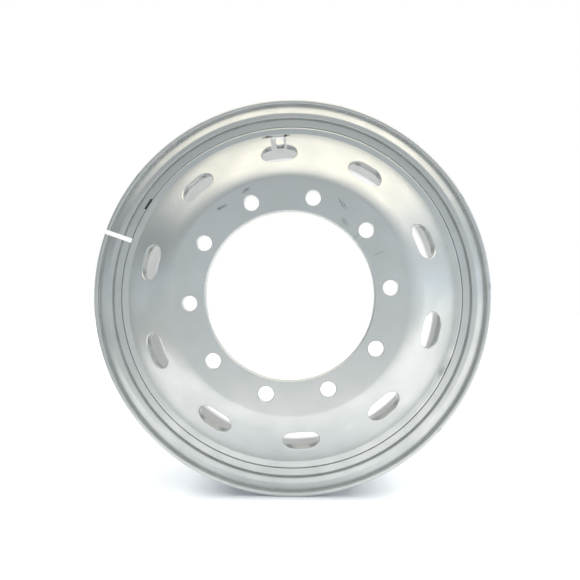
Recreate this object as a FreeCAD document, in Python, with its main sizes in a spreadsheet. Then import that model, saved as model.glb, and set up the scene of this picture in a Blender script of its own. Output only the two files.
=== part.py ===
import FreeCAD, Part
import Sketcher
import math
import os
import re

# A two-piece steel truck wheel for a tube-type tyre, in millimetres. The wheel stands upright with its axis
# along Y. The origin is the middle of the hub bore, on the face that lies against the hub: the outboard side
# with the wheel nuts is at -Y, the rim and the brake drum are at +Y, and +Z is up.

doc = FreeCAD.newDocument("steel_wheel")

# The driving dimensions: alias, value and what it measures. A distance along the axis starts at the hub face.
SIZES = [
    ("hub_bore", 281.0, "diameter of the bore over the hub spigot"),
    ("bore_chamfer", 2.0, "chamfer of the bore's outboard edge"),
    ("bolt_circle", 335.0, "diameter of the circle through the bolt holes"),
    ("bolt_hole", 26.0, "diameter of one bolt hole"),
    ("bolt_count", 10.0, "number of bolt holes, and of hand holes between them"),
    ("disc_plate", 14.0, "thickness of the bolt face"),
    ("disc_wall", 11.0, "thickness of the conical wall"),
    ("disc_lip", 8.5, "thickness of the straight lip"),
    ("shoulder_diameter", 428.8, "where the planes of bolt face and cone meet, outboard"),
    ("shoulder_round", 45.0, "outboard radius of the shoulder"),
    ("cone_angle", 40.0, "slope of the conical wall, in degrees"),
    ("bend_round", 30.0, "outboard radius of the bend into the lip"),
    ("lip_end", 80.0, "axial place of the lip's end"),
    ("hand_hole_circle", 492.8, "diameter through the hand holes on the outboard surface"),
    ("hand_hole_length", 61.0, "hand hole across the wall, round the wheel"),
    ("hand_hole_height", 43.5, "hand hole along the wall"),
    ("hand_hole_round", 20.5, "corner radius of a hand hole"),
    ("valve_notch", 27.0, "width of the valve notch through wall and lip"),
    ("notch_relief", 43.0, "width of the relief on the lip at the notch"),
    ("relief_depth", 2.0, "depth of that relief"),
    ("lip_clearance", 0.2, "radial play between lip and disc seat"),
    ("weld_leg", 6.0, "leg of the weld between lip and rim"),
    ("weld_break", 47.0, "length of rim left without weld at the notch"),
    ("outset", 180.0, "hub face to the middle plane of the rim"),
    ("rim_width", 216.0, "between the two flanges, on the tyre's side"),
    ("disc_seat", 571.0, "diameter inside the rim's thick edge, where the disc sits"),
    ("disc_seat_width", 15.5, "axial width of that seat, from the gutter lip's face"),
    ("rim_bore", 584.0, "diameter inside the rim bed"),
    ("bead_seat", 616.0, "bead seat diameter at the flange"),
    ("bead_taper", 5.0, "slope of the bead seats, in degrees"),
    ("seat_width", 40.0, "axial width of the fixed bead seat"),
    ("bed_wall", 7.5, "thickness of the flat rim bed"),
    ("flange_height", 44.5, "flange above the bead seat"),
    ("flange_wall", 8.5, "thickness of the fixed flange"),
    ("flange_reach", 30.0, "how far the fixed flange curls outward"),
    ("flange_curl", 25.0, "tyre-side radius of the fixed flange"),
    ("heel_round", 8.0, "radius between bead seat and flange"),
    ("gutter_reach", 24.0, "front face of the gutter lip before the ring's flange"),
    ("gutter_lip", 9.0, "axial width of the gutter lip"),
    ("gutter_lip_rise", 9.0, "gutter lip above the rim bore"),
    ("lip_bore_round", 5.5, "radius of the gutter lip's front corner at the disc seat"),
    ("lip_edge_round", 1.5, "radius of its front corner under the side ring"),
    ("gutter_floor", 4.5, "wall left below the gutter"),
    ("gutter_width", 10.0, "axial width of the gutter's floor"),
    ("gutter_front_run", 3.0, "axial run of the gutter's steep front side"),
    ("gutter_back_run", 12.0, "axial run of the gutter's ramp"),
    ("ring_land", 24.0, "axial width of the land under the side ring's toe"),
    ("ring_clearance", 0.3, "play between side ring and rim"),
    ("ring_toe", 32.0, "side ring's bead seat, from flange to toe"),
    ("ring_edge_round", 14.0, "tyre-side radius at the side ring's edge"),
    ("ring_edge_reach", 19.0, "side ring's edge before its flange"),
    ("ring_edge_band", 8.0, "radial height of the side ring's outer edge"),
    ("ring_edge_corner", 4.0, "radius of that edge's front corner"),
    ("ring_channel", 6.0, "depth of the channel behind that edge"),
    ("ring_crest_drop", 26.5, "side ring's crest below its outer edge"),
    ("ring_crest_reach", 31.5, "side ring's crest before its flange"),
    ("ring_crest_round", 6.0, "radius of the crest"),
    ("ring_crease_drop", 35.3, "mouth of the crease below the outer edge"),
    ("ring_crease_reach", 22.5, "mouth of the crease before the flange"),
    ("ring_crease_depth", 3.5, "depth of the crease"),
    ("ring_foot_drop", 38.7, "top of the foot below the outer edge"),
    ("ring_foot_reach", 24.0, "top of the foot before the flange"),
    ("ring_foot_back", 17.5, "inner end of the foot before the flange"),
    ("ring_gap", 8.0, "width of the gap in the side ring"),
    ("pry_length", 21.5, "length of the pry notch"),
    ("pry_height", 4.8, "radial height of the pry notch"),
    ("pry_depth", 17.0, "depth of the pry notch behind the gutter lip's face"),
    ("pry_angle", 13.7, "gap to pry notch round the ring, in degrees"),
    ("valve_slot_width", 15.0, "width of the valve slot in the rim bed"),
    ("valve_slot_front", 86.0, "axial place of the slot's front end"),
    ("valve_slot_back", 158.0, "axial place of the slot's back end"),
    ("butt_weld_flat", 30.0, "length of the flat ground on the lip at the rim's closing weld"),
    ("butt_weld_depth", 2.0, "depth of that flat"),
    ("butt_weld_angle", 241.6, "valve to closing weld round the rim, in degrees"),
    ("valve_angle", 94.4, "place of the valve round the wheel, in degrees from +X"),
    ("gap_angle", 160.7, "place of the ring's gap round the wheel, in degrees from +X"),
]

sheet = doc.addObject("Spreadsheet::Sheet", "Sizes")
for row, (alias, value, meaning) in enumerate(SIZES, start=1):
    sheet.set("A%d" % row, meaning)
    sheet.set("B%d" % row, str(value))
    sheet.setAlias("B%d" % row, alias)
doc.recompute()
ALIASES = {alias for alias, value, meaning in SIZES}

# Places that several pieces share, as formulas of the driving dimensions.
FLANGE_FRONT = "(outset - rim_width / 2)"
FLANGE_BACK = "(outset + rim_width / 2)"
FLANGE_EDGE = "(bead_seat / 2 + flange_height)"
TAPER = "tan(bead_taper * 1 deg)"
CONE = "tan(cone_angle * 1 deg)"
GUTTER_FACE = "(%s - gutter_reach)" % FLANGE_FRONT
LIP_BACK = "(%s + gutter_lip)" % GUTTER_FACE
FLOOR_FRONT = "(%s + gutter_front_run)" % LIP_BACK
FLOOR_BACK = "(%s + gutter_width)" % FLOOR_FRONT
LAND_FRONT = "(%s + gutter_back_run)" % FLOOR_BACK
LAND_BACK = "(%s + ring_land)" % LAND_FRONT
LAND = "(rim_bore / 2 + gutter_lip_rise)"
FLOOR = "(rim_bore / 2 + gutter_floor)"
LIP_OUTSIDE = "(disc_seat / 2 - lip_clearance)"
SEAT_END = "(%s + disc_seat_width)" % GUTTER_FACE


def bound(formula):
    """The formula with each alias written as a cell of the sheet."""
    return re.sub(r"[a-z_]+", lambda m: "Sizes." + m[0] if m[0] in ALIASES else m[0], str(formula))


def new_body(name):
    body = doc.addObject("PartDesign::Body", name)
    body.Label = name
    return body


def origin_feature(body, role):
    return next(f for f in body.Origin.OriginFeatures if f.Role == role)


def new_sketch(body, name, plane):
    sketch = body.newObject("Sketcher::SketchObject", name)
    sketch.AttachmentSupport = [(origin_feature(body, plane), "")]
    sketch.MapMode = "FlatFace"
    return sketch


def drive(sketch, formula, *constraint):
    """Add a dimension to the sketch and bind it to a formula of the sheet."""
    index = sketch.addConstraint(Sketcher.Constraint(*constraint))
    sketch.setExpression("Constraints[%d]" % index, bound(formula))


def outline(sketch, corners):
    """A closed outline through corners (across, along, radius), where a radius of 0 is a sharp corner."""
    count = len(corners)
    hold = []
    for i, (across, along, radius) in enumerate(corners):
        # A sharp corner is held by a point, and a round one by a circle of its radius.
        start = FreeCAD.Vector(i, i, 0)
        mark = Part.Circle(start, FreeCAD.Vector(0, 0, 1), 1) if radius else Part.Point(start)
        sketch.addGeometry(mark, True)
        hold.append(3 if radius else 1)
        drive(sketch, across, "DistanceX", -1, 1, i, hold[i], 1.0)
        drive(sketch, along, "DistanceY", -1, 1, i, hold[i], 1.0)
        if radius:
            drive(sketch, radius, "Radius", i, 1.0)
    doc.recompute()
    points = [sketch.getPoint(i, hold[i]) for i in range(count)]
    radii = [sketch.Geometry[i].Radius if corners[i][2] else 0.0 for i in range(count)]

    # Where the straight sides start and end, once each corner has its radius.
    ends, starts = [], []
    for i, corner in enumerate(points):
        back = (points[i - 1] - corner).normalize()
        ahead = (points[(i + 1) % count] - corner).normalize()
        reach = radii[i] / math.tan(back.getAngle(ahead) / 2)
        ends.append(corner + back * reach)
        starts.append(corner + ahead * reach)
    sides = [sketch.addGeometry(Part.LineSegment(starts[i], ends[(i + 1) % count]), False) for i in range(count)]

    for i, corner in enumerate(points):
        before, after = sides[i - 1], sides[i]
        if not radii[i]:
            sketch.addConstraint(Sketcher.Constraint("Coincident", before, 2, i, 1))
            sketch.addConstraint(Sketcher.Constraint("Coincident", after, 1, i, 1))
            continue
        inward = ((ends[i] + starts[i]) * 0.5 - corner).normalize()
        middle = corner + inward * (math.hypot((ends[i] - corner).Length, radii[i]) - radii[i])
        arc = sketch.addGeometry(Part.Arc(ends[i], middle, starts[i]), False)
        first = 1 if sketch.getPoint(arc, 1).distanceToPoint(ends[i]) < 1e-6 else 2
        sketch.addConstraint(Sketcher.Constraint("Tangent", before, 2, arc, first))
        sketch.addConstraint(Sketcher.Constraint("Tangent", after, 1, arc, 3 - first))
        sketch.addConstraint(Sketcher.Constraint("PointOnObject", i, 3, before))
        sketch.addConstraint(Sketcher.Constraint("PointOnObject", i, 3, after))
        sketch.addConstraint(Sketcher.Constraint("Equal", arc, i))


def turned(body, name, corners):
    """A full turn of an outline (radius, axial place, corner radius) round the wheel's axis."""
    sketch = new_sketch(body, name + "_outline", "XY_Plane")
    outline(sketch, corners)
    solid = body.newObject("PartDesign::Revolution", name)
    solid.Profile = sketch
    solid.ReferenceAxis = (sketch, ["V_Axis"])
    solid.Angle = 360
    doc.recompute()
    return solid


def cut(body, name, sketch, length):
    """A pocket to both sides of the sketch, which has to take something away."""
    before = body.Shape.Volume
    pocket = body.newObject("PartDesign::Pocket", name)
    pocket.Profile = sketch
    pocket.Type = "Length"
    pocket.Midplane = True
    pocket.setExpression("Length", bound(length))
    doc.recompute()
    if body.Shape.Volume > before - 1.0:
        raise RuntimeError(name + " cuts nothing")
    return pocket


def slot(body, name, inner, outer, front, back, width, turn="0"):
    """A straight-sided cut along a radius: from inner to outer, front to back, of the given width."""
    sketch = new_sketch(body, name + "_outline", "XY_Plane")
    sketch.AttachmentOffset = FreeCAD.Placement(FreeCAD.Vector(), FreeCAD.Rotation(FreeCAD.Vector(0, 1, 0), 1))
    sketch.setExpression("AttachmentOffset.Rotation.Angle", bound(turn))
    outline(sketch, [(inner, front, 0), (outer, front, 0), (outer, back, 0), (inner, back, 0)])
    return cut(body, name, sketch, width)


def ring_of(body, name, feature):
    """The feature repeated round the axis, once for each bolt."""
    pattern = body.newObject("PartDesign::PolarPattern", name)
    pattern.Originals = [feature]
    pattern.Axis = (origin_feature(body, "Y_Axis"), [""])
    pattern.Angle = 360
    pattern.setExpression("Occurrences", bound("bolt_count"))
    body.Tip = pattern
    doc.recompute()
    return pattern


def clock(body, angle):
    """Turn the body so that its +X comes to the given angle on the wheel's face."""
    body.Placement = FreeCAD.Placement(FreeCAD.Vector(), FreeCAD.Rotation(FreeCAD.Vector(0, -1, 0), 1))
    body.setExpression("Placement.Rotation.Angle", bound(angle))


def make_wheel_disc():
    """The pressed dish. Its hand hole with the valve notch is at +X until it is clocked."""
    body = new_body("wheel_disc")
    bore, plate = "(hub_bore / 2)", "(-disc_plate)"
    shoulder = "(shoulder_diameter / 2)"
    skin = "(disc_wall / cos(cone_angle * 1 deg))"
    bend = "(-disc_plate + (%s - %s) * %s)" % (LIP_OUTSIDE, shoulder, CONE)
    lip_inside = "(%s - disc_lip)" % LIP_OUTSIDE
    turned(body, "dish", [
        (bore, "-disc_plate + bore_chamfer", 0),
        (bore + " + bore_chamfer", plate, 0),
        (shoulder, plate, "shoulder_round"),
        (LIP_OUTSIDE, bend, "bend_round"),
        (LIP_OUTSIDE, "lip_end", 0),
        (lip_inside, "lip_end", 0),
        (lip_inside, "%s - disc_lip * %s + %s" % (bend, CONE, skin), "bend_round - disc_lip"),
        ("%s + (disc_plate - %s) / %s" % (shoulder, skin, CONE), "0", "shoulder_round - disc_plate"),
        (bore, "0", 0),
    ])

    holes = new_sketch(body, "bolt_hole_outline", "XZ_Plane")
    circle = holes.addGeometry(Part.Circle(FreeCAD.Vector(1, 1, 0), FreeCAD.Vector(0, 0, 1), 1), False)
    drive(holes, "bolt_circle / 2 * cos(180 deg / bolt_count)", "DistanceX", -1, 1, circle, 3, 1.0)
    drive(holes, "bolt_circle / 2 * sin(180 deg / bolt_count)", "DistanceY", -1, 1, circle, 3, 1.0)
    drive(holes, "bolt_hole", "Diameter", circle, 20.0)
    ring_of(body, "bolt_holes", cut(body, "bolt_hole", holes, "4 * disc_plate"))

    hand = new_sketch(body, "hand_hole_outline", "XZ_Plane")
    hand.AttachmentOffset = FreeCAD.Placement(FreeCAD.Vector(), FreeCAD.Rotation(FreeCAD.Vector(0, 1, 0), 1))
    middle = "-disc_plate + (hand_hole_circle / 2 - %s) * %s" % (shoulder, CONE)
    hand.setExpression("AttachmentOffset.Base.x", bound("hand_hole_circle / 2"))
    hand.setExpression("AttachmentOffset.Base.z", bound("-(%s)" % middle))
    hand.setExpression("AttachmentOffset.Rotation.Angle", bound("cone_angle"))
    half_h, half_l = "hand_hole_height / 2", "hand_hole_length / 2"
    outline(hand, [("-" + half_h, "-" + half_l, "hand_hole_round"), (half_h, "-" + half_l, "hand_hole_round"),
                   (half_h, half_l, "hand_hole_round"), ("-" + half_h, half_l, "hand_hole_round")])
    ring_of(body, "hand_holes", cut(body, "hand_hole", hand, "4 * disc_wall"))

    past_lip = "lip_end + disc_lip"
    slot(body, "notch", "hand_hole_circle / 2", "rim_bore / 2 + 1", middle, past_lip, "valve_notch")
    slot(body, "relief", LIP_OUTSIDE + " - relief_depth", "rim_bore / 2 + 1", "0", past_lip, "notch_relief")
    clock(body, "valve_angle")
    return body


def make_rim_base():
    """The rolled rim bed, with its gutter at the open end and its fixed flange at the far end."""
    body = new_body("rim_base")
    bore = "(rim_bore / 2)"
    bed = "(rim_bore / 2 + bed_wall)"
    bed_back = "(%s - seat_width)" % FLANGE_BACK
    seat_front = "(bead_seat / 2 - seat_width * %s)" % TAPER
    flange_tip = "(%s + flange_reach)" % FLANGE_BACK
    flange_inside = "(%s - flange_wall)" % FLANGE_EDGE
    flange_outer_face = "(%s + flange_wall)" % FLANGE_BACK
    turned(body, "bed", [
        ("disc_seat / 2", GUTTER_FACE, "lip_bore_round"),
        (LAND, GUTTER_FACE, "lip_edge_round"),
        (LAND, LIP_BACK, 0),
        (FLOOR, FLOOR_FRONT, 0),
        (FLOOR, FLOOR_BACK, 0),
        (LAND, LAND_FRONT, 0),
        (LAND, LAND_BACK, 0),
        (bed, LAND_BACK + " + bed_wall", 0),
        (bed, bed_back + " - bed_wall", 0),
        (seat_front, bed_back, 0),
        ("bead_seat / 2", FLANGE_BACK, "heel_round"),
        (FLANGE_EDGE, FLANGE_BACK, "flange_curl"),
        (FLANGE_EDGE, flange_tip, "flange_wall * 0.4"),
        (flange_inside, flange_tip, "flange_wall * 0.4"),
        (flange_inside, flange_outer_face, "flange_curl - flange_wall"),
        ("bead_seat / 2 - flange_wall", flange_outer_face, "heel_round + flange_wall"),
        (seat_front + " - flange_wall + 1", bed_back, 0),
        (bore, bed_back + " - bed_wall", 0),
        (bore, SEAT_END, 0),
        ("disc_seat / 2", SEAT_END, 0),
    ])
    valve = new_sketch(body, "valve_slot_outline", "YZ_Plane")
    valve.setExpression("AttachmentOffset.Base.z", bound(bed))
    half = "valve_slot_width / 2"
    outline(valve, [("valve_slot_front", "-" + half, "valve_slot_width * 0.49"),
                    ("valve_slot_back", "-" + half, "valve_slot_width * 0.49"),
                    ("valve_slot_back", half, "valve_slot_width * 0.49"),
                    ("valve_slot_front", half, "valve_slot_width * 0.49")])
    cut(body, "valve_slot", valve, "6 * bed_wall")
    slot(body, "closing_weld_flat", LAND + " - butt_weld_depth", LAND + " + 5", GUTTER_FACE + " - 5", LIP_BACK,
         "butt_weld_flat", "-butt_weld_angle")
    clock(body, "valve_angle")
    return body


def make_side_ring():
    """The split ring that snaps into the gutter. Its gap is at +X until it is clocked."""
    body = new_body("side_ring")
    land = "(%s + ring_clearance)" % LAND
    floor = "(%s + ring_clearance)" % FLOOR
    toe = "(%s + ring_toe)" % FLANGE_FRONT
    edge_front = "(%s - ring_edge_reach)" % FLANGE_FRONT
    edge_inside = "(%s - ring_edge_band)" % FLANGE_EDGE
    crease = "(%s - (ring_crease_drop + ring_foot_drop) / 2)" % FLANGE_EDGE
    turned(body, "ring", [
        (land, toe, 0),
        ("bead_seat / 2 - ring_toe * " + TAPER, toe, 0),
        ("bead_seat / 2", FLANGE_FRONT, "heel_round"),
        (FLANGE_EDGE, FLANGE_FRONT, "ring_edge_round"),
        (FLANGE_EDGE, edge_front, "ring_edge_corner"),
        (edge_inside, edge_front, "ring_edge_corner / 2"),
        (edge_inside, edge_front + " + ring_channel", 0),
        (FLANGE_EDGE + " - ring_crest_drop", FLANGE_FRONT + " - ring_crest_reach", "ring_crest_round"),
        (FLANGE_EDGE + " - ring_crease_drop", FLANGE_FRONT + " - ring_crease_reach", 0),
        (crease, FLANGE_FRONT + " - ring_crease_reach + ring_crease_depth", 0),
        (FLANGE_EDGE + " - ring_foot_drop", FLANGE_FRONT + " - ring_foot_reach", 0),
        (land, FLANGE_FRONT + " - ring_foot_back", 0),
        (land, LIP_BACK + " + ring_clearance", 0),
        (floor, FLOOR_FRONT + " + ring_clearance", 0),
        (floor, FLOOR_BACK, 0),
        (land, LAND_FRONT, 0),
    ])
    slot(body, "gap", FLOOR + " - 5", FLANGE_EDGE + " + 5", FLANGE_FRONT + " - 2 * ring_crest_reach",
         toe + " + 5", "ring_gap")
    slot(body, "pry_notch", LAND + " - 5", land + " + pry_height", FLANGE_FRONT + " - 2 * ring_crest_reach",
         GUTTER_FACE + " + pry_depth", "pry_length", "pry_angle")
    clock(body, "gap_angle")
    return body


def make_disc_weld():
    """The weld in the corner between the disc's lip and the end of its seat, open at the valve notch."""
    body = new_body("disc_weld")
    edge = LIP_OUTSIDE
    turned(body, "bead", [
        (edge, SEAT_END, 0),
        (edge + " + weld_leg", SEAT_END, 0),
        (edge + " + weld_leg * 0.9", SEAT_END + " + weld_leg * 0.35", "weld_leg * 0.5"),
        (edge + " + weld_leg * 0.35", SEAT_END + " + weld_leg * 0.9", "weld_leg * 0.5"),
        (edge, SEAT_END + " + weld_leg", 0),
    ])
    slot(body, "break_at_notch", edge + " - weld_leg", edge + " + 2 * weld_leg", SEAT_END + " - 5",
         SEAT_END + " + 2 * weld_leg", "weld_break")
    clock(body, "valve_angle")
    return body


bodies = [make_wheel_disc(), make_rim_base(), make_side_ring(), make_disc_weld()]
doc.recompute()

for item in doc.Objects:
    if "Invalid" in item.State or "Error" in item.State:
        raise RuntimeError("%s did not build: %s" % (item.Name, item.State))
os.makedirs("parts", exist_ok=True)
for body in bodies:
    if body.Shape.isNull() or not body.Shape.isValid() or len(body.Shape.Solids) != 1:
        raise RuntimeError(body.Label + " is not one sound solid")
    body.Shape.exportStep("parts/%s.step" % body.Label)
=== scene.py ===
import math

import bmesh
import bpy
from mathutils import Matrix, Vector


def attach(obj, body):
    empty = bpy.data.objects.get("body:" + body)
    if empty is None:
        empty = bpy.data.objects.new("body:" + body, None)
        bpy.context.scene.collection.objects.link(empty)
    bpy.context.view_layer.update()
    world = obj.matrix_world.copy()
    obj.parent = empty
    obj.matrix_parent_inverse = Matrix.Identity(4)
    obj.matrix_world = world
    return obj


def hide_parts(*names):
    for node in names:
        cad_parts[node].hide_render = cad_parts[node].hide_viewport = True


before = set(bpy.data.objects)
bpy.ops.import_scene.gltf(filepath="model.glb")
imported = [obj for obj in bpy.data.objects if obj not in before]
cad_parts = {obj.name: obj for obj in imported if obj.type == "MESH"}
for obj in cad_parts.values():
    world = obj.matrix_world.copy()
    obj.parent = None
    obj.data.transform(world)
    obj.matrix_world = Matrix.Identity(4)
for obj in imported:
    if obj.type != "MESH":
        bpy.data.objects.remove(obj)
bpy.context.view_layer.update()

# Rim bed. One strip of hot-rolled steel bent into a hoop and butt-welded, with the gutter rolled into its
# open edge and the fixed flange curled at the far edge. It is sprayed silver together with the disc, and the
# closing weld was ground off across the gutter lip.

MM = 0.001
PAST = 8.0  # how far a cutter reaches past the metal
VALVE_ANGLE = 94.4  # where the valve sits round the wheel, in degrees from +X towards +Z

RIM_BORE = 292.0  # radius inside the bed
DISC_SEAT = 285.5  # radius inside the thick edge under the gutter, where the disc sits
DISC_SEAT_END = 63.5  # axial place of that seat's end
PAINT_FILL = 2.2  # paint that has run into the mouth of the joint with the disc
BED = 299.5  # radius of the flat bed under the tube
GUTTER_LIP = 301.0  # radius of the lip and of the land under the side ring
GUTTER_FLOOR = 296.5
BEAD_SEAT = 308.0
FLANGE_EDGE = 352.5
FLANGE_WALL = 8.5
GUTTER_FACE = 48.0  # axial place of the open edge, from the hub face, as all that follow
LIP_BACK = 57.0
GUTTER_FRONT, GUTTER_BACK = 60.0, 70.0  # the gutter's floor
LAND_FRONT, LAND_BACK = 82.0, 106.0  # the land behind the gutter
BED_FRONT = 113.5
FLANGE_BACK = 288.0  # the fixed flange
FLANGE_END = 318.0
BEAD_TAPER = math.radians(5.0)
SEAT_LENGTH = 40.0
SEAT_RISE = 7.5  # length of the slope from the bed up to the bead seat
SEAT_BACK = FLANGE_BACK - SEAT_LENGTH
SEAT_FRONT = BEAD_SEAT - SEAT_LENGTH * math.tan(BEAD_TAPER)
SLOT_FRONT, SLOT_BACK, SLOT_WIDTH = 86.0, 158.0, 15.0
CLOSING_WELD_ANGLE = VALVE_ANGLE + 241.6
GROUND_WIDTH, GROUND_DEPTH = 30.0, 2.0


def draw_outline(name, corners):
    """A flat face through corners (across, along, rounding), in millimetres. It is left in edit mode."""
    bpy.ops.object.select_all(action="DESELECT")
    bpy.ops.mesh.primitive_plane_add(size=MM)
    piece = bpy.context.object
    piece.name = piece.data.name = name
    bpy.ops.object.mode_set(mode="EDIT")
    bpy.ops.mesh.select_mode(type="VERT")
    bpy.ops.mesh.select_all(action="SELECT")
    bpy.ops.mesh.merge(type="CENTER")
    places = [Vector((across * MM, along * MM, 0.0)) for across, along, rounding in corners]
    bpy.ops.transform.translate(value=places[0])
    for here, there in zip(places, places[1:]):
        bpy.ops.mesh.extrude_region_move(TRANSFORM_OT_translate={"value": there - here})
    bpy.ops.mesh.select_all(action="SELECT")
    bpy.ops.mesh.edge_face_add()
    for i, (across, along, rounding) in enumerate(corners):
        if rounding:
            back, ahead = places[i - 1] - places[i], places[(i + 1) % len(places)] - places[i]
            half = back.angle(ahead) / 2
            turn = math.pi - 2 * half
            outline = bmesh.from_edit_mesh(piece.data)
            for vert in outline.verts:
                vert.select_set((vert.co - places[i]).length < 1e-6)
            outline.select_flush_mode()
            bpy.ops.mesh.bevel(offset_type="ABSOLUTE", offset=rounding * MM / math.tan(half),
                               segments=max(3, round(2.2 * turn * math.sqrt(rounding))), profile=0.5,
                               affect="VERTICES")
    bpy.ops.mesh.select_all(action="SELECT")
    return piece


def turn_profile(name, corners, sweep=360.0, steps=360):
    """Turn an outline of corners (radius, axial place, rounding) about the wheel's axis."""
    piece = draw_outline(name, corners)
    if sweep == 360.0:
        bpy.ops.mesh.delete(type="ONLY_FACE")
        bpy.ops.mesh.select_all(action="SELECT")
    bpy.ops.mesh.spin(steps=steps, angle=math.radians(sweep), center=(0, 0, 0), axis=(0, 1, 0))
    bpy.ops.mesh.select_all(action="SELECT")
    bpy.ops.mesh.remove_doubles(threshold=1e-6)
    bpy.ops.mesh.normals_make_consistent(inside=False)
    bpy.ops.object.mode_set(mode="OBJECT")
    return piece


def stack_outline(name, corners, layers):
    """Raise an outline through layers (height, stretch across, stretch along), all taken from the outline."""
    piece = draw_outline(name, corners)
    height, across, along = layers[0]
    bpy.ops.transform.translate(value=(0, 0, height * MM))
    bpy.ops.transform.resize(value=(across, along, 1), center_override=(0, 0, 0))
    for there, wide, deep in layers[1:]:
        bpy.ops.mesh.extrude_region_move(TRANSFORM_OT_translate={"value": (0, 0, (there - height) * MM)})
        bpy.ops.transform.resize(value=(wide / across, deep / along, 1), center_override=(0, 0, 0))
        height, across, along = there, wide, deep
    bpy.ops.mesh.select_all(action="SELECT")
    bpy.ops.mesh.normals_make_consistent(inside=False)
    bpy.ops.object.mode_set(mode="OBJECT")
    return piece


def place(piece, angle=0.0, move=(0.0, 0.0, 0.0), tilt=(0.0, 0.0, 0.0)):
    """Tilt and move a piece, turn it to an angle on the wheel's face and put its place into its mesh."""
    bpy.ops.object.select_all(action="DESELECT")
    bpy.context.view_layer.objects.active = piece
    piece.select_set(True)
    piece.location, piece.rotation_euler = Vector(move) * MM, tilt
    bpy.ops.object.transform_apply(location=True, rotation=True, scale=True)
    piece.rotation_euler = (0, -math.radians(angle), 0)
    bpy.ops.object.transform_apply(location=True, rotation=True, scale=True)
    return piece


def copies_round(piece, count):
    """The piece and its copies, spaced evenly round the wheel's axis."""
    ring = [piece]
    for i in range(1, count):
        bpy.ops.object.select_all(action="DESELECT")
        bpy.context.view_layer.objects.active = piece
        piece.select_set(True)
        bpy.ops.object.duplicate()
        ring.append(place(bpy.context.object, i * 360.0 / count))
    return ring


def cut_away(piece, cutters):
    """Take the cutters, which lie clear of each other, out of the piece in one go."""
    bpy.ops.object.select_all(action="DESELECT")
    for cutter in cutters:
        cutter.select_set(True)
    bpy.context.view_layer.objects.active = cutters[0]
    if len(cutters) > 1:
        bpy.ops.object.join()
    tool = bpy.context.view_layer.objects.active
    bpy.ops.object.select_all(action="DESELECT")
    bpy.context.view_layer.objects.active = piece
    piece.select_set(True)
    cut = piece.modifiers.new("cut", "BOOLEAN")
    cut.operation, cut.solver, cut.object = "DIFFERENCE", "EXACT", tool
    bpy.ops.object.modifier_apply(modifier=cut.name)
    bpy.data.objects.remove(tool)


def block(name, low, high):
    """A box between two corners, in millimetres."""
    bpy.ops.object.select_all(action="DESELECT")
    low, high = Vector(low), Vector(high)
    bpy.ops.mesh.primitive_cube_add(size=MM, location=(low + high) / 2 * MM, scale=high - low)
    box = bpy.context.object
    box.name = name
    bpy.ops.object.transform_apply(location=True, rotation=True, scale=True)
    return box


def smooth(piece):
    """Shade the turned faces smooth and keep the cut edges crisp."""
    bpy.ops.object.select_all(action="DESELECT")
    bpy.context.view_layer.objects.active = piece
    piece.select_set(True)
    bpy.ops.object.shade_smooth_by_angle(angle=math.radians(32.0))
    even = piece.modifiers.new("even", "WEIGHTED_NORMAL")
    even.keep_sharp = True
    bpy.ops.object.modifier_apply(modifier=even.name)


rim_bed = turn_profile("rim_bed", [
    (DISC_SEAT - PAINT_FILL, GUTTER_FACE, 5.5), (GUTTER_LIP, GUTTER_FACE, 3.8), (GUTTER_LIP, LIP_BACK, 0.6),
    (GUTTER_FLOOR, GUTTER_FRONT, 1.0), (GUTTER_FLOOR, GUTTER_BACK, 2.0), (GUTTER_LIP, LAND_FRONT, 2.0),
    (GUTTER_LIP, LAND_BACK, 0.8), (BED, BED_FRONT, 4.0), (BED, SEAT_BACK - SEAT_RISE, 4.0),
    (SEAT_FRONT, SEAT_BACK, 4.0), (BEAD_SEAT, FLANGE_BACK, 8.0), (FLANGE_EDGE, FLANGE_BACK, 25.0),
    (FLANGE_EDGE, FLANGE_END, 3.4), (FLANGE_EDGE - FLANGE_WALL, FLANGE_END, 3.4),
    (FLANGE_EDGE - FLANGE_WALL, FLANGE_BACK + FLANGE_WALL, 16.5),
    (BEAD_SEAT - FLANGE_WALL, FLANGE_BACK + FLANGE_WALL, 9.0),
    (SEAT_FRONT - FLANGE_WALL + 1.0, SEAT_BACK, 4.0), (RIM_BORE, SEAT_BACK - SEAT_RISE, 4.0),
    (RIM_BORE, DISC_SEAT_END, 1.0), (DISC_SEAT, DISC_SEAT_END, 0.8)])
half_slot = SLOT_WIDTH / 2
slot_round = half_slot * 0.98
valve_slot = stack_outline("valve_slot_cut", [
    (SLOT_FRONT, -half_slot, slot_round), (SLOT_BACK, -half_slot, slot_round),
    (SLOT_BACK, half_slot, slot_round), (SLOT_FRONT, half_slot, slot_round)],
    [(RIM_BORE - PAST, 1, 1), (BED + PAST, 1, 1)])
place(valve_slot, VALVE_ANGLE, tilt=(math.pi / 2, 0, math.pi / 2))
ground_flat = block("ground_flat", (GUTTER_LIP - GROUND_DEPTH, GUTTER_FACE - PAST, -GROUND_WIDTH / 2),
                    (GUTTER_LIP + PAST, LIP_BACK, GROUND_WIDTH / 2))
cut_away(rim_bed, [valve_slot, place(ground_flat, CLOSING_WELD_ANGLE)])
smooth(rim_bed)


def colour(code):
    """An sRGB hex code as the linear colour that a shader takes."""
    parts = [int(code[i:i + 2], 16) / 255 for i in (1, 3, 5)]
    return [p / 12.92 if p <= 0.04045 else ((p + 0.055) / 1.055) ** 2.4 for p in parts] + [1.0]


def add(tree, kind, inputs, **settings):
    """Add a node with its settings, and give each input a value or a link."""
    made = tree.nodes.new("ShaderNode" + kind)
    for key, value in settings.items():
        setattr(made, key, value)
    for key, value in inputs.items():
        if isinstance(value, bpy.types.NodeSocket):
            tree.links.new(value, made.inputs[key])
        else:
            made.inputs[key].default_value = value
    return made


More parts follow.
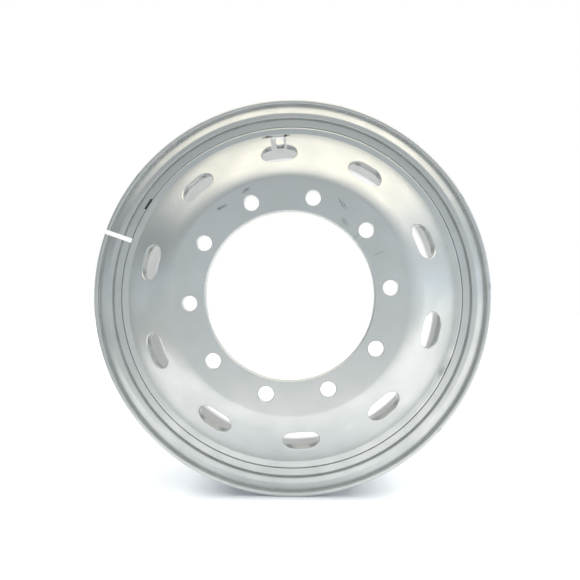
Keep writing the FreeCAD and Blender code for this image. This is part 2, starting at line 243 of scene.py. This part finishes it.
def lay_over(paint, mask, code):
    """Lay a colour over the paint where the mask is 1."""
    tree = paint.node_tree
    shader = tree.nodes["Principled BSDF"]
    under = shader.inputs["Base Color"].links[0].from_socket
    over = add(tree, "Mix", {0: mask, 6: under, 7: colour(code)}, data_type="RGBA")
    tree.links.new(over.outputs[2], shader.inputs["Base Color"])


def spot(paint, at, size, turn=0.0, ragged=6.0, strength=1.0):
    """A mask that is 1 in a ragged oval at a place on the wheel, in millimetres, and 0 away from it."""
    tree = paint.node_tree
    where = tree.nodes["Texture Coordinate"].outputs["Object"]
    oval = add(tree, "Mapping", {"Vector": where, "Location": Vector(at) * MM, "Scale": Vector(size) * MM,
                                 "Rotation": (0, -math.radians(turn), 0)}, vector_type="TEXTURE")
    reach = add(tree, "VectorMath", {0: oval.outputs[0]}, operation="LENGTH")
    grain = add(tree, "TexNoise", {"Vector": where, "Scale": 1 / (ragged * MM), "Detail": 4.0,
                                   "Roughness": 0.7})
    edge = add(tree, "Math", {0: grain.outputs[0], 1: 1.6, 2: reach.outputs["Value"]},
               operation="MULTIPLY_ADD")
    mask = add(tree, "MapRange", {"Value": edge.outputs[0], "From Min": 1.7, "From Max": 1.1,
                                  "To Max": strength})
    return mask.outputs[0]


DRIFT = 55.0  # size of the cloudy patches that the spray gun leaves
FLAKE = 1.6  # real flake is far finer, and is drawn this coarse so that it shows
PEEL = 4.5  # spacing of the orange peel's bumps


def silver_paint(name, pale, dull, roughness):
    """Sprayed silver on steel: flake that drifts between a pale and a duller grey, over faint orange peel."""
    paint = bpy.data.materials.new(name)
    paint.use_nodes = True
    tree = paint.node_tree
    shader = tree.nodes["Principled BSDF"]
    where = add(tree, "TexCoord", {}).outputs["Object"]
    drift = add(tree, "TexNoise", {"Vector": where, "Scale": 1 / (DRIFT * MM), "Detail": 3.0,
                                   "Roughness": 0.55})
    flake = add(tree, "TexNoise", {"Vector": where, "Scale": 1 / (FLAKE * MM), "Detail": 2.0})
    both = add(tree, "Math", {0: flake.outputs[0], 1: 0.06, 2: drift.outputs[0]}, operation="MULTIPLY_ADD")
    blend = add(tree, "MapRange", {"Value": both.outputs[0], "From Min": 0.35, "From Max": 0.75})
    tone = add(tree, "Mix", {0: blend.outputs[0], 6: colour(dull), 7: colour(pale)}, data_type="RGBA")
    tree.links.new(tone.outputs[2], shader.inputs["Base Color"])
    gloss = add(tree, "MapRange", {"Value": drift.outputs[0], "From Min": 0.3, "From Max": 0.7,
                                   "To Min": roughness + 0.05, "To Max": roughness - 0.05})
    tree.links.new(gloss.outputs[0], shader.inputs["Roughness"])
    peel = add(tree, "TexNoise", {"Vector": where, "Scale": 1 / (PEEL * MM), "Detail": 2.0})
    bump = add(tree, "Bump", {"Height": peel.outputs[0], "Strength": 0.12, "Distance": 0.10 * MM})
    tree.links.new(bump.outputs[0], shader.inputs["Normal"])
    shader.inputs["Metallic"].default_value = 0.7
    return paint


def on_wheel(radius, angle, along):
    """A place on the wheel from its radius, its angle on the face and its axial place, in millimetres."""
    return (radius * math.cos(math.radians(angle)), along, radius * math.sin(math.radians(angle)))


# The bed's coat is the same silver. Inside the bed behind the disc it is laid over with a darker grey, a
# painted shade for the dimmer light in there. The eye also gets a bright ground patch with a grey smear
# beside it where the closing weld was dressed.
rim_paint = silver_paint("silver_paint_on_rolled_steel", "#dee0df", "#d4d7d6", 0.34)
tree = rim_paint.node_tree
where = tree.nodes["Texture Coordinate"].outputs["Object"]
# painted shade: from here a mask darkens the bed's inside behind the disc, standing in for the dimmer light
# in there
across = add(tree, "VectorMath", {0: where, 1: (1, 0, 1)}, operation="MULTIPLY")
radius = add(tree, "VectorMath", {0: across.outputs[0]}, operation="LENGTH")
inside = add(tree, "MapRange", {"Value": radius.outputs["Value"], "From Min": (BED - 3) * MM,
                                "From Max": (BED - 5) * MM})
along = add(tree, "SeparateXYZ", {0: where}).outputs["Y"]
behind_disc = add(tree, "MapRange", {"Value": along, "From Min": 66 * MM, "From Max": 72 * MM})
painted_shade_behind_disc = add(tree, "Math", {0: inside.outputs[0], 1: behind_disc.outputs[0]}, operation="MULTIPLY")
lay_over(rim_paint, painted_shade_behind_disc.outputs[0], "#a6a8a8")
dressed = spot(rim_paint, on_wheel(296.0, 340.5, 49.0), (9.0, 12.0, 16.0), 338.0, 5.0, 0.7)
lay_over(rim_paint, dressed, "#f1f1ee")
smear = spot(rim_paint, on_wheel(294.0, 333.5, 49.0), (7.0, 12.0, 14.0), 333.0, 4.0, 0.5)
lay_over(rim_paint, smear, "#8b8e8e")
rim_bed.data.materials.clear()
rim_bed.data.materials.append(rim_paint)
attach(rim_bed, "root")
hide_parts("rim_base")

# Wheel disc. A round blank of steel plate pressed into a dish, with the bore turned, the bolt holes drilled
# and the hand holes punched before it is pushed into the rim. A notch lets the valve stem pass.

PLATE = 14.0  # thickness of the bolt face
SHOULDER = 214.4  # radius where the bolt face turns into the cone
CONE = math.radians(40.0)
WALL = 11.0  # thickness of the cone
LIP = 285.3  # radius outside the straight lip
FLARE = 292.5  # radius that the bend runs out to, into the paint that fills the joint with the rim
LIP_WALL = 8.5
LIP_END = 80.0
BORE = 140.5
BOLT_CIRCLE = 167.5
BOLT_HOLE = 13.0
BOLT_CHAMFER, BACK_CHAMFER = 1.2, 1.0
BOLTS = 10
HAND_HOLE_CIRCLE = 246.4
HAND_HOLE_LENGTH, HAND_HOLE_HEIGHT, HAND_HOLE_ROUND = 61.0, 43.5, 20.5
HOLE_EDGE = 2.5  # rounding that the punch leaves on the outboard edge of a hand hole
HOLE_MOUTH, HOLE_BACK = 4.2, 3.0  # how far the punch spreads before and behind the wall
NOTCH_WIDTH = 27.0
RELIEF_WIDTH, RELIEF_DEPTH, RELIEF_FRONT = 43.0, 2.0, 40.0  # where the lip stands off the rim at the notch

bend = -PLATE + (LIP - SHOULDER) * math.tan(CONE)
flare = -PLATE + (FLARE - SHOULDER) * math.tan(CONE)
seat_reach = DISC_SEAT_END - 1.0
skin = WALL / math.cos(CONE)
disc = turn_profile("disc", [
    (BORE, -PLATE + 2.0, 0.8), (BORE + 2.0, -PLATE, 0.8), (SHOULDER, -PLATE, 45.0), (FLARE, flare, 15.0),
    (FLARE, seat_reach, 0), (LIP, seat_reach, 0), (LIP, LIP_END, 0.8), (LIP - LIP_WALL, LIP_END, 0.8),
    (LIP - LIP_WALL, bend - LIP_WALL * math.tan(CONE) + skin, 21.5),
    (SHOULDER + (PLATE - skin) / math.tan(CONE), 0.0, 31.0), (BORE, 0.0, 0.8)])

drill = turn_profile("drill", [
    (0.0, -PLATE - PAST, 0), (BOLT_HOLE + PAST, -PLATE - PAST, 0), (BOLT_HOLE, -PLATE + BOLT_CHAMFER, 1.0),
    (BOLT_HOLE, -BACK_CHAMFER, 1.0), (BOLT_HOLE + PAST, PAST - BACK_CHAMFER, 0),
    (0.0, PAST - BACK_CHAMFER, 0)], steps=64)
place(drill, VALVE_ANGLE + 180.0 / BOLTS, (BOLT_CIRCLE, 0.0, 0.0))
cut_away(disc, copies_round(drill, BOLTS))

half_height, half_length = HAND_HOLE_HEIGHT / 2, HAND_HOLE_LENGTH / 2
spreads = [(-2 * PAST, HOLE_MOUTH), (-0.6, HOLE_MOUTH)]
for lean in (15, 30, 50, 70, 90):
    roll = math.radians(lean)
    spreads.append((HOLE_EDGE * (1 - math.cos(roll)), HOLE_EDGE * (1 - math.sin(roll))))
spreads += [(WALL - 1.5, 0.0), (WALL - 0.5, 0.5), (WALL + 1.5, HOLE_BACK), (WALL + 2 * PAST, HOLE_BACK)]
layers = [(depth, 1 + spread / half_height, 1 + spread / half_length) for depth, spread in spreads]
punch = stack_outline("punch", [
    (-half_height, -half_length, HAND_HOLE_ROUND), (half_height, -half_length, HAND_HOLE_ROUND),
    (half_height, half_length, HAND_HOLE_ROUND), (-half_height, half_length, HAND_HOLE_ROUND)], layers)
wall_curve = HAND_HOLE_CIRCLE / math.sin(CONE) * MM
for vert in punch.data.vertices:
    vert.co.z += vert.co.y ** 2 / (2 * wall_curve)
hole_along = -PLATE + (HAND_HOLE_CIRCLE - SHOULDER) * math.tan(CONE)
place(punch, VALVE_ANGLE, (HAND_HOLE_CIRCLE, hole_along, 0.0), (-math.pi / 2, 0, CONE))
cut_away(disc, copies_round(punch, BOLTS))
notch = block("notch", (HAND_HOLE_CIRCLE, hole_along, -NOTCH_WIDTH / 2),
              (FLARE + PAST, LIP_END + PAST, NOTCH_WIDTH / 2))
cut_away(disc, [place(notch, VALVE_ANGLE)])
relief = block("relief", (LIP - RELIEF_DEPTH, RELIEF_FRONT, -RELIEF_WIDTH / 2),
               (FLARE + PAST, LIP_END + PAST, RELIEF_WIDTH / 2))
cut_away(disc, [place(relief, VALVE_ANGLE)])
smooth(disc)

# The disc's coat is the wheel's best one. The eye gets a faint drift of the flake, grey scuffs from handling
# on the bolt face, and rust on both sides of the joint beside the valve notch, where the weld leaves off; its
# dark brown is also painted shade for the open joint there.
disc_paint = silver_paint("silver_paint_on_pressed_steel", "#dee0df", "#d4d7d6", 0.32)
for x, z, long, wide, turn, strength in (
        (-72.8, 176.4, 11.0, 4.0, 35.0, 0.55), (-112.6, 148.2, 12.0, 4.0, 25.0, 0.55),
        (-118.0, 145.0, 4.0, 3.0, 0.0, 0.7), (86.0, 154.0, 15.0, 1.8, -62.0, 0.6),
        (92.0, 150.0, 12.0, 1.8, -62.0, 0.55), (91.3, 123.3, 12.0, 5.0, -55.0, 0.35),
        (149.4, 71.1, 14.0, 2.5, 25.0, 0.3), (108.0, 96.0, 18.0, 3.0, 40.0, 0.25)):
    scuff = spot(disc_paint, (x, -PLATE, z), (long, 6.0, wide), turn, 3.0, strength)
    lay_over(disc_paint, scuff, "#7d8384")
# rust, laid dark enough to stand in as well for the shade inside the open joint beside the notch
for angle, long in ((98.4, 12.0), (91.7, 6.0)):
    for coat in (disc_paint, rim_paint):
        joint = on_wheel(DISC_SEAT - 0.5, angle, GUTTER_FACE + 0.5)
        rust_and_gap_shade = spot(coat, joint, (3.6, 14.0, long), angle, 3.0, 0.9)
        lay_over(coat, rust_and_gap_shade, "#4f3c2c")
disc.data.materials.clear()
disc.data.materials.append(disc_paint)
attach(disc, "root")
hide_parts("wheel_disc")

# Weld between disc and rim. One run of weld metal in the corner between the disc's lip and the end of its
# seat, laid while the wheel turns, so it is rippled. It stops on both sides of the valve notch.

WELD_LEG = 6.0
WELD_BREAK = 47.0
WELD_STEPS = 1500
RIPPLE = 0.4
RIPPLE_STEPS = 3  # every third step of the bead stands out
weld_open = math.degrees(WELD_BREAK / LIP)
weld = turn_profile("weld", [
    (LIP, DISC_SEAT_END, 0), (LIP + WELD_LEG, DISC_SEAT_END, 0),
    (LIP + WELD_LEG * 0.9, DISC_SEAT_END + WELD_LEG * 0.35, 2.5),
    (LIP + WELD_LEG * 0.35, DISC_SEAT_END + WELD_LEG * 0.9, 2.5), (LIP, DISC_SEAT_END + WELD_LEG, 0)],
    sweep=360.0 - weld_open, steps=WELD_STEPS)
bpy.ops.object.mode_set(mode="EDIT")
bead = bmesh.from_edit_mesh(weld.data)
step = math.radians(360.0 - weld_open) / WELD_STEPS
for vert in bead.verts:
    station = round((math.atan2(vert.co.z, vert.co.x) % (2 * math.pi)) / step)
    bare = math.hypot(vert.co.x, vert.co.z) > (LIP + 0.5) * MM and vert.co.y > (DISC_SEAT_END + 0.5) * MM
    vert.select_set(station % RIPPLE_STEPS == 0 and bare)
bead.select_flush_mode()
bpy.ops.transform.shrink_fatten(value=-RIPPLE * MM)
bpy.ops.object.mode_set(mode="OBJECT")
place(weld, VALVE_ANGLE + weld_open / 2)
smooth(weld)

# The bead's coat runs thin on the ripples. The eye gets a duller, rougher silver than on the disc.
weld_paint = silver_paint("silver_paint_on_weld_bead", "#d6d8d7", "#bfc1bf", 0.42)
weld.data.materials.clear()
weld.data.materials.append(weld_paint)
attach(weld, "root")
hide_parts("disc_weld")

# Side ring. A spring ring rolled from one bar, split so that it can be pried out of the gutter: it carries
# the outer flange, the tapered seat of the tyre's bead and the hook that snaps in behind the gutter lip.

RING_FRONT = 72.0  # axial place of its flange on the tyre's side
RING_END = 104.0  # axial place of its inner end, under the tyre's bead
RING_PLAY = 0.3
RING_LAND = GUTTER_LIP + RING_PLAY
RING_HOOK = GUTTER_FLOOR + RING_PLAY
ROLL_WIDTH, ROLL_FRONT, ROLL_GROOVE = 8.0, 53.0, 59.0  # the rolled outer edge and the groove beside it
CREST_OUTER, CREST_INNER = (326.0, 46.4), (317.2, 46.0)  # radius and axial place, as for the next three
CREASE = (315.5, 53.0)
FOOT_OUTER, FOOT_INNER = (313.8, 50.3), (RING_LAND, 49.5)
RING_GAP = 8.0
GAP_ANGLE = 160.7
PRY_ANGLE = 13.7
PRY_LENGTH, PRY_HEIGHT, PRY_BACK = 21.5, 3.4, 65.0

ring_seat_end = BEAD_SEAT - (RING_END - RING_FRONT) * math.tan(BEAD_TAPER)
roll_inside = FLANGE_EDGE - ROLL_WIDTH
side_ring = turn_profile("split_side_ring", [
    (RING_LAND, RING_END, 0.5), (ring_seat_end, RING_END, 0.8), (BEAD_SEAT, RING_FRONT, 8.0),
    (FLANGE_EDGE, RING_FRONT, 14.0), (FLANGE_EDGE, ROLL_FRONT, 4.0), (roll_inside, ROLL_FRONT, 2.0),
    (roll_inside, ROLL_GROOVE, 0.8), (*CREST_OUTER, 6.0), (*CREST_INNER, 1.2), (*CREASE, 0.4),
    (*FOOT_OUTER, 1.0), (*FOOT_INNER, 0.8), (RING_LAND, LIP_BACK + RING_PLAY, 0.3),
    (RING_HOOK, GUTTER_FRONT + RING_PLAY, 0.6), (RING_HOOK, GUTTER_BACK, 1.5),
    (RING_LAND, LAND_FRONT, 2.0)])
before_ring = GUTTER_FACE - 2 * PAST
gap = block("gap", (RING_HOOK - PAST, before_ring, -RING_GAP / 2),
            (FLANGE_EDGE + PAST, RING_END + PAST, RING_GAP / 2))
pry = block("pry", (RING_HOOK - PAST, before_ring, -PRY_LENGTH / 2),
            (RING_LAND + PRY_HEIGHT, PRY_BACK, PRY_LENGTH / 2))
cut_away(side_ring, [gap, place(pry, -PRY_ANGLE)])
place(side_ring, GAP_ANGLE)
smooth(side_ring)

# The ring's coat is knocked about by tyre irons. The eye gets duller silver than on the disc and a few nicks
# on the outer edge that show the grey primer.
ring_paint = silver_paint("silver_paint_on_rolled_ring", "#dadcdb", "#ced1d0", 0.33)
for angle, strength in ((30.0, 0.5), (3.0, 0.6), (118.0, 0.3), (142.0, 0.6), (205.0, 0.4), (318.0, 0.6),
                        (75.0, 0.3)):
    nick = spot(ring_paint, on_wheel(FLANGE_EDGE - 1.0, angle, 54.0), (4.0, 6.0, 9.0), angle, 3.0, strength)
    lay_over(ring_paint, nick, "#85898a")
side_ring.data.materials.clear()
side_ring.data.materials.append(ring_paint)
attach(side_ring, "root")
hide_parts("side_ring")

# Floor. White paper under and behind the wheel, greyer far in front of it and at its left, outside the
# picture. The paper is lifted to white for the eye and for what the paint mirrors. Under the wheel the lift
# is cut back in a fixed patch, a painted shadow that deepens the wheel's own shadow there.

FLOOR_Z = -FLANGE_EDGE * MM
bpy.ops.object.select_all(action="DESELECT")
bpy.ops.mesh.primitive_plane_add(size=40.0, location=(0, 0, FLOOR_Z))
floor = bpy.context.object
floor.name = "paper_floor"
paper = bpy.data.materials.new("white_paper")
paper.use_nodes = True
tree = paper.node_tree
where = add(tree, "TexCoord", {}).outputs["Object"]
ground = add(tree, "SeparateXYZ", {0: where})
front = add(tree, "MapRange", {"Value": ground.outputs["Y"], "From Min": -2.0, "From Max": -0.45})
leftward = add(tree, "VectorMath", {0: where, 1: (1, 0.52, 0)}, operation="DOT_PRODUCT")
left = add(tree, "MapRange", {"Value": leftward.outputs["Value"], "From Min": -1.15, "From Max": -0.60},
           interpolation_type="SMOOTHSTEP")
pale = add(tree, "Math", {0: front.outputs[0], 1: left.outputs[0]}, operation="MINIMUM")
tone = add(tree, "Mix", {0: pale.outputs[0], 6: colour("#9fa3a8"), 7: colour("#f0f3f8")}, data_type="RGBA")
sheet = add(tree, "BsdfDiffuse", {"Color": tone.outputs[2]})
# painted shadow: a fixed patch under the wheel where the paper's lift is cut back, deepening its contact
# shadow
under = add(tree, "MapRange", {"Value": ground.outputs["Y"], "From Min": 0.035, "From Max": 0.06})
aside = add(tree, "Math", {0: ground.outputs["X"]}, operation="ABSOLUTE")
beside = add(tree, "MapRange", {"Value": aside.outputs[0], "From Min": 0.20, "From Max": 0.10})
beyond = add(tree, "MapRange", {"Value": ground.outputs["Y"], "From Min": 0.40, "From Max": 0.33})
painted_shadow = add(tree, "Math", {0: under.outputs[0], 1: beside.outputs[0]}, operation="MULTIPLY")
painted_shadow = add(tree, "Math", {0: painted_shadow.outputs[0], 1: beyond.outputs[0]}, operation="MULTIPLY")
power = add(tree, "MapRange", {"Value": painted_shadow.outputs[0], "To Min": 0.46, "To Max": 0.05})
lift = add(tree, "Emission", {"Color": tone.outputs[2], "Strength": power.outputs[0]})
path = add(tree, "LightPath", {})
mirrored = add(tree, "Math", {0: path.outputs["Is Glossy Ray"], 1: path.outputs["Is Transmission Ray"]},
               operation="MAXIMUM")
seen = add(tree, "Math", {0: path.outputs["Is Camera Ray"], 1: mirrored.outputs[0]}, operation="MAXIMUM")
white = add(tree, "AddShader", {0: sheet.outputs[0], 1: lift.outputs[0]})
either = add(tree, "MixShader", {0: seen.outputs[0], 1: sheet.outputs[0], 2: white.outputs[0]})
tree.links.new(either.outputs[0], tree.nodes["Material Output"].inputs["Surface"])
floor.data.materials.append(paper)

# Studio. A white backdrop behind the wheel, and a pale room that is brightest and warm overhead, fairly
# bright at the right and dim and cool in front, with one large soft box above the wheel.

world = bpy.data.worlds.new("studio")
bpy.context.scene.world = world
world.use_nodes = True
tree = world.node_tree
around = add(tree, "SeparateXYZ", {0: add(tree, "TexCoord", {}).outputs["Generated"]})
upward = add(tree, "Math", {0: around.outputs["X"], 1: 0.06, 2: around.outputs["Z"]},
             operation="MULTIPLY_ADD")
height = add(tree, "MapRange", {"Value": upward.outputs[0], "From Min": 0.28, "From Max": 0.88},
             interpolation_type="SMOOTHSTEP")
glow = add(tree, "MapRange", {"Value": around.outputs["Z"], "From Min": 0.05, "From Max": 0.36,
                              "To Min": 0.77, "To Max": 0.22}, interpolation_type="SMOOTHSTEP")
right = add(tree, "MapRange", {"Value": around.outputs["X"], "From Min": 0.15, "From Max": 1.0,
                               "To Max": 0.42}, interpolation_type="SMOOTHSTEP")
rise = add(tree, "Math", {0: height.outputs[0], 1: 1.26, 2: glow.outputs[0]}, operation="MULTIPLY_ADD")
side = add(tree, "Math", {0: right.outputs[0], 1: rise.outputs[0]})
behind = add(tree, "MapRange", {"Value": around.outputs["Y"], "From Min": 0.45, "From Max": 0.75},
             interpolation_type="SMOOTHSTEP")
light = add(tree, "Mix", {0: behind.outputs[0], 2: side.outputs[0], 3: 1.0}, data_type="FLOAT")
sky = add(tree, "Mix", {0: height.outputs[0], 6: colour("#e8f4ff"), 7: colour("#fff8e8")}, data_type="RGBA")
tint = add(tree, "Mix", {0: behind.outputs[0], 6: sky.outputs[2], 7: colour("#ffffff")}, data_type="RGBA")
tree.links.new(tint.outputs[2], tree.nodes["Background"].inputs["Color"])
tree.links.new(light.outputs[0], tree.nodes["Background"].inputs["Strength"])

lamp = bpy.data.lights.new("softbox_above", "AREA")
lamp.energy, lamp.size = 4.0, 2.4
softbox = bpy.data.objects.new("softbox_above", lamp)
bpy.context.scene.collection.objects.link(softbox)
softbox.location = (0.2, -0.35, 1.9)
softbox.rotation_euler = (-softbox.location).to_track_quat("-Z", "Y").to_euler()

# Camera. It stands before the wheel, a little right of its axis and below it.

PICTURE_WIDTH = 580  # pixels
FOCAL_LENGTH = 603.1  # pixels, from the perspective of the bolt holes, the bore and the ring

camera = bpy.data.cameras.new("camera")
camera.sensor_width = 36.0
camera.lens = FOCAL_LENGTH / PICTURE_WIDTH * camera.sensor_width
viewer = bpy.data.objects.new("camera", camera)
bpy.context.scene.collection.objects.link(viewer)
viewer.location = (0.0297, -1.014, -0.0176)
viewer.rotation_euler = (math.pi / 2 + 0.027, 0, 0.029)
bpy.context.scene.camera = viewer
bpy.context.scene.view_settings.view_transform = "Standard"
